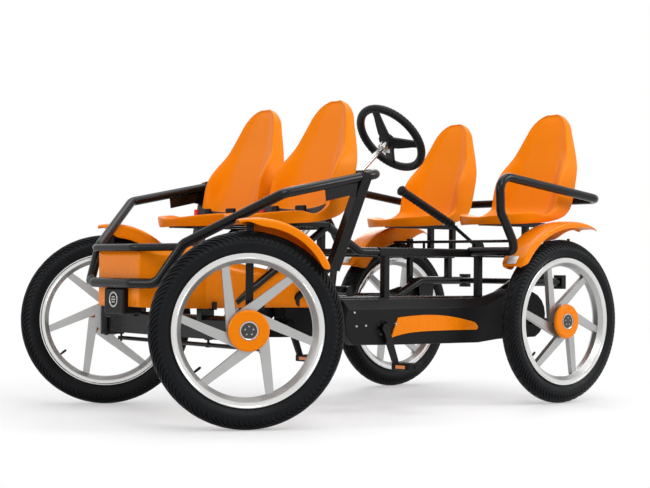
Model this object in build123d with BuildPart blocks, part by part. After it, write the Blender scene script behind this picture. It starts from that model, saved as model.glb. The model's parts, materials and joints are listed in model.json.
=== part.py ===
"""Four-seat pedal go-kart: two rows of bucket seats on a welded tube frame, a guard hoop round the
front row, an armrest hoop round the rear row, cast six-spoke wheels and a steered front axle.

Millimetres.  +X points forward, +Y to the kart's left, +Z up.  The origin is on the ground under
the middle of the kart.  The front wheels stand on full right lock.
"""

import os
from math import cos, radians, sin, sqrt

from build123d import *

os.makedirs("parts", exist_ok=True)

# --- overall sizes -------------------------------------------------------------------------------
wheelbase = 1408
wheel_diameter = 600
rear_half_track = 456
kingpin_half_track = 405
origin_shift = 8  # the turned front wheels reach further forward than the rear ones reach back

axle_height = wheel_diameter / 2
front_axle_x = wheelbase / 2 - origin_shift
rear_axle_x = front_axle_x - wheelbase

# --- clearances ----------------------------------------------------------------------------------
running_clearance = 0.05  # radial, shaft in bore
part_gap = 0.3  # between neighbours that move or are soft
link_pivot_clearance = 3.2  # radial, where the drag link is opened
rod_pivot_clearance = 1.0  # radial, where the track rod is opened

# --- tubes ---------------------------------------------------------------------------------------
hoop_tube_radius = 16
rail_tube_radius = 16
cross_tube_radius = 12
post_size = 25
upright_size = 38
beam_size = 30
bend_radius = 50

# --- wheel ---------------------------------------------------------------------------------------
tyre_width = 65.5
rim_radius = 232.5
rim_width = 52
rim_flange = 4.7
rim_ring_depth = 30
spoke_count = 6
spoke_offset = 46  # distance of a spoke's centre line from the wheel centre
spoke_root_width = 34
spoke_tip_width = 23
spoke_thickness = 18
spoke_ridge_width = 7
spoke_ridge_height = 3
first_spoke_angle = 97
hub_radius = 42
hub_cap_radius = 63
hub_cap_depth = 12
emblem_radius = 31
wheel_axle_radius = 10

# --- steering ------------------------------------------------------------------------------------
left_wheel_angle = -28.0  # about +Z, from straight ahead
right_wheel_angle = -30.8
kingpin_offset = 80  # kingpin to wheel middle, along the stub axle
kingpin_radius = 7
kingpin_boss_radius = 18
kingpin_boss_height = 76
steering_arm_length = 52
steering_arm_angle = (right_wheel_angle - left_wheel_angle) / 2  # keeps both arms parallel
track_rod_height = 238
track_rod_radius = 7
ball_stud_radius = 4
rod_end_radius = 12
rod_end_height = 12
column_angle = 41.3  # below the horizontal
column_radius = 11
column_top_x = -974  # from the front axle
column_top_z = 976
drop_arm_length = 52
steering_wheel_radius = 150
steering_wheel_rim_radius = 14
link_stud_y = 153

# --- frame ---------------------------------------------------------------------------------------
rail_half_spacing = 258
front_rail_half_spacing = 200
rail_height = 376
rear_rail_height = 441
beam_height = 547
front_seat_height = 648
rear_seat_height = 679

# --- seats ---------------------------------------------------------------------------------------
seat_width = 392
seat_depth = 465
seat_rise = 410
seat_shell = 6
seat_rim = 22
front_seat_half_spacing = 199
rear_seat_half_spacing = 263
front_seat_x = -72
rear_seat_x = -1098

# --- pedals --------------------------------------------------------------------------------------
crank_x = -655
crank_height = 285
crank_length = 140
crank_angle = 248
guard_width = 44


def front(x):
    """X of a point given ahead of the front axle."""
    return front_axle_x + x


def rear(x):
    """X of a point given ahead of the rear axle."""
    return rear_axle_x + x


def tube(points, radius, bend=bend_radius):
    """Sweep a round tube with equal bends through points, inside the current part."""
    with BuildLine(mode=Mode.PRIVATE) as path:
        if len(points) > 2:
            FilletPolyline(*points, radius=bend)
        else:
            Line(*points)
    with BuildSketch(Plane(origin=path.line @ 0, z_dir=path.line % 0), mode=Mode.PRIVATE) as section:
        Circle(radius)
    sweep(section.sketch, path=path.line)


def square_tube(start, end, size):
    """Run a square tube with rounded corners from start to end, inside the current part."""
    run = Vector(*end) - Vector(*start)
    plane = Plane(origin=start, x_dir=(0, 1, 0), z_dir=run) if abs(run.Y) < abs(run.length) * 0.7 \
        else Plane(origin=start, x_dir=(0, 0, 1), z_dir=run)
    with BuildSketch(plane, mode=Mode.PRIVATE) as section:
        RectangleRounded(size, size, 4)
    extrude(section.sketch, amount=run.length)


def save(part, name):
    """Label a finished piece and write its file."""
    part.label = name
    export_step(part, f"parts/{name}.step")


def mirrored(part):
    """The same piece on the kart's other side."""
    with BuildPart() as other:
        add(part)
        mirror(about=Plane.XZ, mode=Mode.REPLACE)
    return other.part


def both_sides(part):
    """A piece and its mirror image in one node."""
    with BuildPart() as pair:
        add(part)
        mirror(about=Plane.XZ)
    return pair.part


# --- wheel pieces, with the axle along local +Z and the outer face up -----------------------------
with BuildPart() as tyre:
    with BuildSketch(Plane.XZ):
        with BuildLine():
            bead = rim_radius - 8.5
            wall = rim_width / 2 - rim_flange
            lip = rim_radius + 1
            shoulder = axle_height - 12
            inner = Polyline((lip, -wall), (bead, -wall), (bead, wall), (lip, wall))
            side = ThreePointArc(inner @ 1, (0.5 * lip + 0.5 * axle_height, tyre_width / 2),
                                 (shoulder, tyre_width * 0.36))
            crown = ThreePointArc(side @ 1, (axle_height, 0), (shoulder, -tyre_width * 0.36))
            ThreePointArc(crown @ 1, (0.5 * lip + 0.5 * axle_height, -tyre_width / 2), inner @ 0)
        make_face()
    revolve(axis=Axis.Z)

ring_radius = rim_radius - rim_ring_depth
spoke_end = sqrt((ring_radius + 6) ** 2 - spoke_offset**2)

with BuildPart() as spoke:
    with BuildSketch(Plane.XY.offset(-spoke_thickness / 2)):
        with BuildLine():
            Polyline(
                (0, spoke_offset - spoke_root_width / 2), (spoke_end, spoke_offset - spoke_tip_width / 2),
                (spoke_end, spoke_offset + spoke_tip_width / 2), (0, spoke_offset + spoke_root_width / 2),
                close=True,
            )
        make_face()
    extrude(amount=spoke_thickness)

with BuildPart() as rim:
    with BuildSketch(Plane.XZ):
        half = rim_width / 2
        seat_radius = rim_radius - 8.8
        with BuildLine():
            Polyline(
                (ring_radius, -half * 0.4), (ring_radius, half * 0.4), (ring_radius + 12, half),
                (rim_radius, half), (rim_radius, half - rim_flange + 0.2),
                (seat_radius, half - rim_flange + 0.2), (seat_radius, -half + rim_flange - 0.2),
                (rim_radius, -half + rim_flange - 0.2), (rim_radius, -half),
                (ring_radius + 12, -half), close=True,
            )
        make_face()
    revolve(axis=Axis.Z)
    with PolarLocations(0, spoke_count, start_angle=first_spoke_angle):
        add(spoke.part)
    with BuildSketch(Plane.XY.offset(-half)):
        Circle(hub_radius)
    extrude(amount=rim_width)
    Hole(wheel_axle_radius + running_clearance)

with BuildPart() as hub_cap:
    with BuildSketch(Plane.XZ):
        with BuildLine():
            base = rim_width / 2
            Polyline((0, base), (hub_cap_radius, base), (hub_cap_radius, base + hub_cap_depth * 0.5))
            ThreePointArc((hub_cap_radius, base + hub_cap_depth * 0.5),
                          (hub_cap_radius - 3, base + hub_cap_depth * 0.87),
                          (hub_cap_radius - 10, base + hub_cap_depth))
            Polyline((hub_cap_radius - 10, base + hub_cap_depth), (emblem_radius, base + hub_cap_depth),
                     (emblem_radius, base + hub_cap_depth - 2), (0, base + hub_cap_depth - 2), (0, base))
        make_face()
    revolve(axis=Axis.Z)


def wheel_plane(centre, turn, side):
    """Plane of a wheel: z along the axle outwards, y up; turn is the steered angle about +Z."""
    outward = Vector(0, side, 0).rotate(Axis.Z, turn)
    return Plane(origin=centre, x_dir=Vector(0, 0, 1).cross(outward), z_dir=outward)


def kingpin_xy(side):
    return Vector(front_axle_x, side * kingpin_half_track, 0)


def knuckle_location(side, turn):
    """Where a knuckle modelled at the origin, straight ahead, stands on its kingpin."""
    pin = kingpin_xy(side)
    return Location((pin.X, pin.Y, 0), (0, 0, turn))


left_turn = knuckle_location(1, left_wheel_angle)
right_turn = knuckle_location(-1, right_wheel_angle)


def wheel_centre(side, turn):
    pin = kingpin_xy(side)
    reach = Vector(0, side * kingpin_offset, 0).rotate(Axis.Z, turn)
    return (pin.X + reach.X, pin.Y + reach.Y, axle_height)


wheels = {
    "front_left": wheel_plane(wheel_centre(1, left_wheel_angle), left_wheel_angle, 1),
    "front_right": wheel_plane(wheel_centre(-1, right_wheel_angle), right_wheel_angle, -1),
    "rear_left": wheel_plane((rear_axle_x, rear_half_track, axle_height), 0, 1),
    "rear_right": wheel_plane((rear_axle_x, -rear_half_track, axle_height), 0, -1),
}
for corner, plane in wheels.items():
    save(tyre.part.moved(plane.location), f"tyre_{corner}")
    save(rim.part.moved(plane.location), f"rim_{corner}")
    save(hub_cap.part.moved(plane.location), f"hub_cap_{corner}")

# --- rear axle -----------------------------------------------------------------------------------
with BuildPart() as rear_axle:
    with BuildSketch(Plane.XZ.offset(-rear_half_track - rim_width / 2 + 1)):
        with Locations((rear_axle_x, axle_height)):
            Circle(wheel_axle_radius)
    extrude(amount=2 * rear_half_track + rim_width - 2)
save(rear_axle.part, "rear_axle")

# --- steering knuckles, modelled straight ahead with the kingpin at the origin --------------------
boss_low = axle_height - kingpin_boss_height / 2
boss_high = axle_height + kingpin_boss_height / 2
ear_gap = 0.4
ear_thickness = 10
knuckle_plate_y = 32
knuckle_plate_thickness = 10
arm_end = Vector(-steering_arm_length, 0, 0).rotate(Axis.Z, steering_arm_angle)
fender_radius = 336
fender_width = 112
fender_thickness = 4
fender_stay_y = 36


def fender_section(middle, crown):
    """Arched section of a mudguard with a lip down each edge: y across, z from the wheel's axis up."""
    w = fender_width / 2
    t = fender_thickness
    with BuildLine(mode=Mode.PRIVATE) as outline:
        Polyline((middle - w, crown - 22), (middle - w, crown - 4))
        ThreePointArc((middle - w, crown - 4), (middle, crown + t), (middle + w, crown - 4))
        Polyline((middle + w, crown - 4), (middle + w, crown - 22), (middle + w - t, crown - 22),
                 (middle + w - t, crown - 7))
        ThreePointArc((middle + w - t, crown - 7), (middle, crown), (middle - w + t, crown - 7))
        Polyline((middle - w + t, crown - 7), (middle - w + t, crown - 22), (middle - w, crown - 22))
    make_face(outline.edges())


def front_fender(side):
    """Mudguard over the top and back of one front wheel."""
    with BuildPart() as fender:
        with BuildSketch(Plane.YZ):
            fender_section(kingpin_offset, axle_height + fender_radius)
        revolve(axis=Axis((0, 0, axle_height), (0, 1, 0)), revolution_arc=-50)
        if side < 0:
            mirror(about=Plane.XZ, mode=Mode.REPLACE)
    return fender.part


def knuckle(side):
    """Fork, kingpin, stub axle, steering arm and mudguard stay of one front wheel."""
    with BuildPart() as fork:
        with BuildSketch(Plane.XY.offset(boss_high + ear_gap)) as ear:
            with BuildLine():
                Line((-20, 0), (-20, knuckle_plate_y + knuckle_plate_thickness))
                Line((-20, knuckle_plate_y + knuckle_plate_thickness),
                     (20, knuckle_plate_y + knuckle_plate_thickness))
                Line((20, knuckle_plate_y + knuckle_plate_thickness), (20, 0))
                ThreePointArc((20, 0), (0, -20), (-20, 0))
            make_face()
        extrude(amount=ear_thickness)
        extrude(ear.sketch.moved(Location((0, 0, boss_low - ear_gap - boss_high - ear_gap))),
                amount=-ear_thickness)
        with BuildSketch(Plane.XZ.offset(-knuckle_plate_y)):
            with Locations((0, axle_height)):
                Rectangle(40, kingpin_boss_height + 2 * (ear_gap + ear_thickness))
        extrude(amount=-knuckle_plate_thickness)
        with BuildSketch(Plane.XZ.offset(-knuckle_plate_y - knuckle_plate_thickness)):
            with Locations((0, axle_height)):
                Circle(wheel_axle_radius)
        extrude(amount=-(kingpin_offset + rim_width / 2 - 1 - knuckle_plate_y - knuckle_plate_thickness))
        with BuildSketch(Plane.XY.offset(boss_low - ear_gap - ear_thickness - 4)):
            Circle(kingpin_radius)
        extrude(amount=kingpin_boss_height + 2 * (ear_gap + ear_thickness) + 8)
        with BuildSketch(Plane.XY.offset(boss_low - ear_gap - ear_thickness)):
            with BuildLine():
                Polyline((8, -12), (8, 12), (arm_end.X, arm_end.Y + 10), (arm_end.X, arm_end.Y - 10),
                         close=True)
            make_face()
            with Locations((arm_end.X, arm_end.Y)):
                Circle(10)
        extrude(amount=8)
        with BuildSketch(Plane.XY.offset(track_rod_height - rod_end_height / 2 - 6)):
            with Locations((arm_end.X, arm_end.Y)):
                Circle(ball_stud_radius)
        extrude(amount=boss_low - ear_gap - ear_thickness - track_rod_height + rod_end_height / 2 + 8)
        stay_top = axle_height + sqrt(fender_radius**2 - 30**2) - 7
        with BuildSketch(Plane.XY.offset(boss_high + ear_gap + ear_thickness - 1)):
            with Locations((-12, fender_stay_y)):
                Rectangle(24, 6)
        extrude(amount=stay_top - boss_high - ear_gap - ear_thickness - 3)
        with BuildSketch(Plane.XY.offset(stay_top - 8)):
            with Locations((-12, kingpin_offset - 10)):
                Rectangle(24, 2 * (kingpin_offset - 10 - fender_stay_y + 3))
        extrude(amount=20)
        add(front_fender(1), mode=Mode.SUBTRACT)
        whole = fork.part.solids().sort_by(lambda s: s.volume)[-1]
    with BuildPart() as sided:
        add(whole)
        if side < 0:
            mirror(about=Plane.XZ, mode=Mode.REPLACE)
    return sided.part


save(knuckle(1).moved(left_turn), "knuckle_left")
save(knuckle(-1).moved(right_turn), "knuckle_right")
save(front_fender(1).moved(left_turn), "front_fender_left")
save(front_fender(-1).moved(right_turn), "front_fender_right")


# --- front axle ----------------------------------------------------------------------------------
axle_tube_height = 321
axle_box_low = 262
axle_box_half_width = 18
rail_seat_height = rail_height - rail_tube_radius

with BuildPart() as front_axle:
    boss_reach = kingpin_half_track
    with BuildSketch(Plane.XZ.offset(-boss_reach)):
        with Locations((front_axle_x, axle_tube_height)):
            Circle(hoop_tube_radius)
    extrude(amount=2 * boss_reach)
    with BuildSketch(Plane.XZ.offset(-boss_reach + 60)):
        with Locations((front_axle_x, (axle_box_low + axle_tube_height) / 2)):
            Rectangle(2 * axle_box_half_width, axle_tube_height - axle_box_low)
    extrude(amount=2 * (boss_reach - 60))
    with Locations((front_axle_x, boss_reach, axle_height), (front_axle_x, -boss_reach, axle_height)):
        Cylinder(kingpin_boss_radius, kingpin_boss_height)
    with Locations((front_axle_x, boss_reach, axle_height), (front_axle_x, -boss_reach, axle_height)):
        Cylinder(kingpin_radius + running_clearance, kingpin_boss_height + 2, mode=Mode.SUBTRACT)
    with Locations(
        (front_axle_x, front_rail_half_spacing, (axle_tube_height + rail_seat_height) / 2),
        (front_axle_x, -front_rail_half_spacing, (axle_tube_height + rail_seat_height) / 2),
    ):
        Box(50, 26, rail_seat_height - axle_tube_height - part_gap)
save(front_axle.part, "front_axle_beam")


# --- track rod, drag link and steering column -----------------------------------------------------
def stud(side, turn):
    """Ball stud of one steering arm, in the wheels' rest position."""
    reach = Vector(arm_end.X, side * arm_end.Y, 0).rotate(Axis.Z, turn)
    pin = kingpin_xy(side)
    return Vector(pin.X + reach.X, pin.Y + reach.Y, track_rod_height)


left_stud = stud(1, left_wheel_angle)
right_stud = stud(-1, right_wheel_angle)
rod_run = right_stud - left_stud
rod_length = rod_run.length
link_height = track_rod_height + 22
link_stud_along = (left_stud.Y - link_stud_y) / abs(rod_run.Y) * rod_length
link_stud = left_stud + rod_run.normalized() * link_stud_along

with BuildPart() as track_rod:
    rod_plane = Plane(origin=left_stud, x_dir=(0, 0, 1), z_dir=rod_run)
    with BuildSketch(rod_plane):
        Circle(track_rod_radius)
    extrude(amount=rod_length)
    with Locations((left_stud.X, left_stud.Y, track_rod_height), (right_stud.X, right_stud.Y, track_rod_height)):
        Cylinder(rod_end_radius, rod_end_height)
    with Locations((left_stud.X, left_stud.Y, track_rod_height)):
        Cylinder(ball_stud_radius + running_clearance, 40, mode=Mode.SUBTRACT)
    with Locations((right_stud.X, right_stud.Y, track_rod_height)):
        Cylinder(ball_stud_radius + rod_pivot_clearance, 40, mode=Mode.SUBTRACT)
    with Locations((link_stud.X, link_stud.Y, track_rod_height)):
        Cylinder(9, 16)
    with BuildSketch(Plane(origin=(link_stud.X, link_stud.Y, track_rod_height))):
        Circle(ball_stud_radius)
    extrude(amount=link_height - track_rod_height + rod_end_height)
save(track_rod.part, "track_rod")

column_dir = Vector(cos(radians(column_angle)), 0, -sin(radians(column_angle)))
column_top = Vector(front(column_top_x), 0, column_top_z)
arm_rest_angle = -(left_wheel_angle + right_wheel_angle) / 2
drop_arm_thickness = 8
drop_stud_length = 20
arm_down = Vector(-sin(radians(column_angle)), 0, -cos(radians(column_angle)))
arm_dir = arm_down * cos(radians(arm_rest_angle)) + Vector(0, sin(radians(arm_rest_angle)), 0)
drop_eye_offset = arm_dir * drop_arm_length + column_dir * (drop_arm_thickness + rod_end_height / 2 + 1)
column_foot_z = link_height - drop_eye_offset.Z
column_length = (column_top_z - column_foot_z) / sin(radians(column_angle))
column_foot = column_top + column_dir * column_length
drop_eye = column_foot + drop_eye_offset

with BuildPart() as column:
    with BuildSketch(Plane(origin=column_foot, x_dir=arm_dir, z_dir=column_dir)) as arm_outline:
        with BuildLine():
            Polyline((0, -14), (drop_arm_length, -9), (drop_arm_length, 9), (0, 14), close=True)
        make_face()
        Circle(15)
        with Locations((drop_arm_length, 0)):
            Circle(9)
    extrude(amount=drop_arm_thickness)
    with BuildSketch(Plane(origin=column_foot + arm_dir * drop_arm_length, z_dir=column_dir)):
        Circle(ball_stud_radius)
    extrude(amount=drop_arm_thickness + drop_stud_length)
    with BuildSketch(Plane(origin=column_top, z_dir=column_dir)):
        Circle(column_radius)
    extrude(amount=column_length)
save(column.part, "steering_column")

with BuildPart() as wheel_rim:
    hub_plane = Plane(origin=column_top, x_dir=(0, 1, 0), z_dir=-column_dir)
    with BuildSketch(Plane(origin=column_top, x_dir=(0, 1, 0), z_dir=(-column_dir).cross(Vector(0, 1, 0)))) as ring:
        with Locations((steering_wheel_radius - steering_wheel_rim_radius, 0)):
            Circle(steering_wheel_rim_radius)
    revolve(axis=Axis(column_top, column_dir))
    with BuildSketch(hub_plane.offset(-12)):
        Circle(30)
        with PolarLocations(0, 3, start_angle=90):
            with Locations((steering_wheel_radius / 2, 0)):
                Rectangle(steering_wheel_radius - 20, 28)
    extrude(amount=12)
    with BuildSketch(hub_plane.offset(-30)):
        Circle(18)
    extrude(amount=20)
    with BuildSketch(hub_plane.offset(-40)):
        Circle(column_radius)
    extrude(amount=40, mode=Mode.SUBTRACT)
save(wheel_rim.part, "steering_wheel")

with BuildPart() as link:
    link_run = Vector(link_stud.X, link_stud.Y, link_height) - drop_eye
    with BuildSketch(Plane(origin=drop_eye, x_dir=(0, 0, 1), z_dir=link_run)):
        Circle(track_rod_radius)
    extrude(amount=link_run.length)
    with BuildSketch(Plane(origin=drop_eye, z_dir=column_dir)):
        Circle(rod_end_radius)
    extrude(amount=rod_end_height / 2, both=True)
    with BuildSketch(Plane(origin=drop_eye, z_dir=column_dir)):
        Circle(ball_stud_radius + running_clearance)
    extrude(amount=40, both=True, mode=Mode.SUBTRACT)
    with Locations((link_stud.X, link_stud.Y, link_height)):
        Cylinder(rod_end_radius, rod_end_height)
        Cylinder(ball_stud_radius + link_pivot_clearance, 40, mode=Mode.SUBTRACT)
save(link.part, "drag_link")

# --- frame ---------------------------------------------------------------------------------------
rail_flare_x = (front(-250), front(-400))
rail_rise_x = (rear(166), rear(35))

with BuildPart() as rail:
    tube([
        (front(120), front_rail_half_spacing, rail_height),
        (rail_flare_x[0], front_rail_half_spacing, rail_height),
        (rail_flare_x[1], rail_half_spacing, rail_height),
        (rail_rise_x[0], rail_half_spacing, rail_height),
        (rail_rise_x[1], rail_half_spacing, rear_rail_height),
        (rear(-233), rail_half_spacing, rear_rail_height),
    ], rail_tube_radius)
save(both_sides(rail.part), "lower_rails")

seat_tube_x = front(-455)
seat_tube_height = front_seat_height - 18
with BuildPart() as upper_rail:
    tube([
        (seat_tube_x, rail_half_spacing, seat_tube_height),
        (front(-598), rail_half_spacing, beam_height),
        (front(-690), rail_half_spacing, beam_height),
    ], 14)
    square_tube((front(-681), rail_half_spacing, beam_height), (rear(-150), rail_half_spacing, beam_height),
                beam_size)
save(both_sides(upper_rail.part), "upper_rails")


def cross_bar(x, z, half_length, radius, carriers):
    """Straight tube across the kart, coped to the tubes that carry it."""
    with BuildPart() as bar:
        with BuildSketch(Plane.XZ.offset(-half_length)):
            with Locations((x, z)):
                Circle(radius)
        extrude(amount=2 * half_length)
        for carrier in carriers:
            add(carrier, mode=Mode.SUBTRACT)
        middle = bar.part.solids().sort_by(lambda s: abs(s.center().Y))[0]
    return middle


column_bar_x = front(-342.6)
rails = [both_sides(rail.part)]
beams = [both_sides(upper_rail.part)]
with BuildPart() as cross_tubes:
    add(cross_bar(front(80), rail_height, front_rail_half_spacing, cross_tube_radius, rails))
    add(cross_bar(column_bar_x, rail_height, rail_half_spacing, rail_tube_radius, rails))
    add(cross_bar(front(-835), rail_height, rail_half_spacing, cross_tube_radius, rails))
    add(cross_bar(rear(320), rail_height, rail_half_spacing, cross_tube_radius, rails))
    add(cross_bar(rear(-200), rear_rail_height, rail_half_spacing, cross_tube_radius, rails))
    add(cross_bar(seat_tube_x, seat_tube_height, rail_half_spacing, cross_tube_radius, beams))
    add(cross_bar(front(-640), beam_height, rail_half_spacing, cross_tube_radius, beams))
    add(cross_bar(front(-1444), beam_height, rail_half_spacing, cross_tube_radius, beams))
save(cross_tubes.part, "cross_tubes")

with BuildPart() as posts:
    for x, foot in ((front(-720), rail_height), (front(-1000), rail_height), (rear(225), rail_height),
                    (rear(-126), rear_rail_height)):
        with BuildSketch(Plane.XY.offset(foot)):
            with Locations((x, rail_half_spacing)):
                RectangleRounded(post_size, post_size, 4)
        extrude(amount=beam_height - foot)
    add(rail.part, mode=Mode.SUBTRACT)
    add(upper_rail.part, mode=Mode.SUBTRACT)
    post_solids = [s for s in posts.part.solids() if s.volume > 5000]
with BuildPart() as frame_posts:
    add(post_solids)
    mirror(about=Plane.XZ)
save(frame_posts.part, "frame_posts")

# front guard
guard_half = [
    (front(-525), 0, 803),
    (front(-525), 444, 803),
    (front(-122), 444, 721),
    (front(122), 251, 560),
    (front(186), 200, 437),
    (front(186), 0, 437),
]
with BuildPart() as guard_side:
    tube(guard_half, hoop_tube_radius, 42)
with BuildPart() as guard:
    add(guard_side.part)
    mirror(about=Plane.XZ)
save(guard.part, "front_guard")

with BuildPart() as guard_bar:
    add(cross_bar(front(128), 549, 251, cross_tube_radius, [guard.part]))
save(guard_bar.part, "guard_crossbar")

with BuildPart() as upright:
    square_tube((front(-458), 447, 800), (front(-361), 397, 486), upright_size)
    add(guard.part, mode=Mode.SUBTRACT)
    add(rail.part, mode=Mode.SUBTRACT)
    add(upper_rail.part, mode=Mode.SUBTRACT)
    upright_solid = upright.part.solids().sort_by(lambda s: s.volume)[-1]
save(both_sides(upright_solid), "front_uprights")

# rear hoop
hoop_half = [
    (rear(-194), 0, 754),
    (rear(-194), 478, 754),
    (rear(300), 478, 815),
    (rear(278), 478, 553),
    (rear(278), rail_half_spacing, 553),
]
with BuildPart() as hoop_side:
    tube(hoop_half, hoop_tube_radius, 42)
    add(upper_rail.part, mode=Mode.SUBTRACT)
    hoop_solid = hoop_side.part.solids().sort_by(lambda s: s.volume)[-1]
with BuildPart() as hoop:
    add(hoop_solid)
    mirror(about=Plane.XZ)
save(hoop.part, "rear_hoop")


# --- seats, with the pan's front edge at the origin and the seat facing local +X -------------------
pan_thickness = 8
back_lean_x = -385
seat_top = (-seat_depth + seat_shell, seat_rise)



def seat_front_view(inset):
    """Front view of the shell, or of its hollow when inset by the rim."""
    w = seat_width / 2 - inset
    top = seat_rise - inset
    with BuildSketch(Plane.YZ, mode=Mode.PRIVATE) as outline:
        with BuildLine():
            Polyline((-w, 110), (-w, -30), (w, -30), (w, 110))
            Spline((w, 110), (w * 0.78, top * 0.66), (w * 0.46, top * 0.92), (0, top),
                   (-w * 0.46, top * 0.92), (-w * 0.78, top * 0.66), (-w, 110), tangents=[(0, 1), (0, -1)])
        make_face()
    return outline.sketch


with BuildPart() as hollow:
    with BuildSketch(Plane.XZ):
        with BuildLine():
            Polyline((60, pan_thickness), (-300, pan_thickness))
            TangentArc((-300, pan_thickness), (back_lean_x, 95), tangent=(-1, 0))
            Polyline((back_lean_x, 95), (seat_top[0] + seat_shell, seat_rise), (seat_top[0] + 40, seat_rise + 60),
                     (60, seat_rise + 60), (60, pan_thickness))
        make_face()
    extrude(amount=seat_width, both=True)
    extrude(seat_front_view(seat_rim), amount=600, both=True, mode=Mode.INTERSECT)

with BuildPart() as seat:
    with BuildSketch(Plane.XZ):
        with BuildLine():
            Line((0, 0), (-300, 0))
            TangentArc((-300, 0), (back_lean_x - seat_shell, 95), tangent=(-1, 0))
            Polyline((back_lean_x - seat_shell, 95), (seat_top[0] - seat_shell, seat_rise + 10),
                     (seat_top[0] + 24, seat_rise + 10))
            Spline((seat_top[0] + 24, seat_rise + 10), (-350, 240), (-300, 125), (-215, 58), (-110, 24), (0, 16))
            Line((0, 16), (0, 0))
        make_face()
    extrude(amount=seat_width / 2, both=True)
    extrude(seat_front_view(0), amount=600, both=True, mode=Mode.INTERSECT)
    with BuildSketch(Plane.XY.offset(-5)):
        with Locations((-300, 0)):
            RectangleRounded(600, seat_width, 60)
    extrude(amount=seat_rise + 30, mode=Mode.INTERSECT)
    add(hollow.part, mode=Mode.SUBTRACT)

seats = {
    "front_left": (front(front_seat_x), front_seat_half_spacing, front_seat_height),
    "front_right": (front(front_seat_x), -front_seat_half_spacing, front_seat_height),
    "rear_left": (front(rear_seat_x), rear_seat_half_spacing, rear_seat_height),
    "rear_right": (front(rear_seat_x), -rear_seat_half_spacing, rear_seat_height),
}
for name, place in seats.items():
    save(seat.part.moved(Location(place)), f"seat_{name}")

# lap belts of the front row
belt_thickness = 3
belt_height = 40
with BuildPart() as belt:
    with BuildSketch(Plane.XY.offset(pan_thickness + part_gap)):
        with BuildLine():
            half = seat_width / 2 - seat_rim - part_gap
            outer = ThreePointArc((-285, -half), (-240, 0), (-285, half))
            Line(outer @ 1, (-285 - belt_thickness, half))
            ThreePointArc((-285 - belt_thickness, half), (-240 - belt_thickness, 0),
                          (-285 - belt_thickness, -half))
            Line((-285 - belt_thickness, -half), outer @ 0)
        make_face()
    extrude(amount=belt_height)
with BuildPart() as belts:
    add(belt.part.moved(Location(seats["front_left"])))
    mirror(about=Plane.XZ)
save(belts.part, "lap_belts")

# seat carriers
carrier_width = 30
carrier_depth = 18
with BuildPart() as carriers:
    for y in (front_seat_half_spacing - 90, front_seat_half_spacing + 55):
        with Locations(((front(-130) + seat_tube_x) / 2, y, front_seat_height - carrier_depth / 2)):
            Box(front(-130) - seat_tube_x, carrier_width, carrier_depth)
    add(cross_tubes.part, mode=Mode.SUBTRACT)
    for x in (rear(215), rear(0)):
        with BuildSketch(Plane.XY.offset(beam_height)):
            with Locations((x, rail_half_spacing)):
                RectangleRounded(22, 22, 3)
        extrude(amount=rear_seat_height - carrier_depth - beam_height)
        add(upper_rail.part, mode=Mode.SUBTRACT)
    with Locations((rear(140), rail_half_spacing, rear_seat_height - carrier_depth / 2)):
        Box(300, carrier_width, carrier_depth)
    carrier_solids = [s for s in carriers.part.solids() if s.volume > 20000]
with BuildPart() as seat_carriers:
    add(carrier_solids)
    mirror(about=Plane.XZ)
save(seat_carriers.part, "seat_carriers")

# --- front struts and braces -----------------------------------------------------------------------
with BuildPart() as braces:
    tube([(seat_tube_x, rail_half_spacing, seat_tube_height), (front(-110), 213, rail_height)], 12)
    tube([(front(-367), 400, 506), (front(-330), 228, rail_height)], 12)
    tube([(front(-367), 400, 506), (front(-470), rail_half_spacing, rail_height)], 12)
    add(upper_rail.part, mode=Mode.SUBTRACT)
    add(rail.part, mode=Mode.SUBTRACT)
    add(upright_solid, mode=Mode.SUBTRACT)
    add(cross_tubes.part, mode=Mode.SUBTRACT)
    add(carrier_solids, mode=Mode.SUBTRACT)
    brace_solids = [s for s in braces.part.solids() if s.volume > 20000]
with BuildPart() as front_braces:
    add(brace_solids)
    mirror(about=Plane.XZ)
save(front_braces.part, "front_braces")

# --- steering column support ----------------------------------------------------------------------
def column_point(x):
    return column_top + column_dir * ((x - column_top.X) / column_dir.X)


collar_radius = 18
collar_length = 40
with BuildPart() as column_support:
    high = column_point(front(-640))
    low = column_point(column_bar_x)
    with BuildSketch(Plane.XY.offset(beam_height)):
        with Locations((front(-640), 0)):
            RectangleRounded(post_size, post_size, 4)
    extrude(amount=high.Z - beam_height)
    with BuildSketch(Plane.XY.offset(rail_height)):
        with Locations((column_bar_x, 0)):
            RectangleRounded(post_size, 20, 4)
    extrude(amount=low.Z - rail_height)
    for point in (high, low):
        with BuildSketch(Plane(origin=point, z_dir=column_dir)):
            Circle(collar_radius)
        extrude(amount=collar_length / 2, both=True)
    with BuildSketch(Plane(origin=column_top, z_dir=column_dir)):
        Circle(column_radius + running_clearance)
    extrude(amount=column_length, mode=Mode.SUBTRACT)
    add(cross_tubes.part, mode=Mode.SUBTRACT)
    support_solids = [s for s in column_support.part.solids() if s.volume > 15000]
with BuildPart() as column_supports:
    add(support_solids)
save(column_supports.part, "column_supports")

# --- front fairing and nose block -------------------------------------------------------------------
fairing_bottom = rail_height + rail_tube_radius + part_gap
fairing_top = 528
fairing_wall = 4


def fairing_outline(z, tip, corner, tail):
    with BuildSketch(Plane.XY.offset(z)) as outline:
        with BuildLine():
            Polyline((front(tip), 0), (front(corner[0]), corner[1]), (front(tail[0]), tail[1]),
                     (front(tail[0]), -tail[1]), (front(corner[0]), -corner[1]), close=True)
        make_face()
    return outline.sketch


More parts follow.
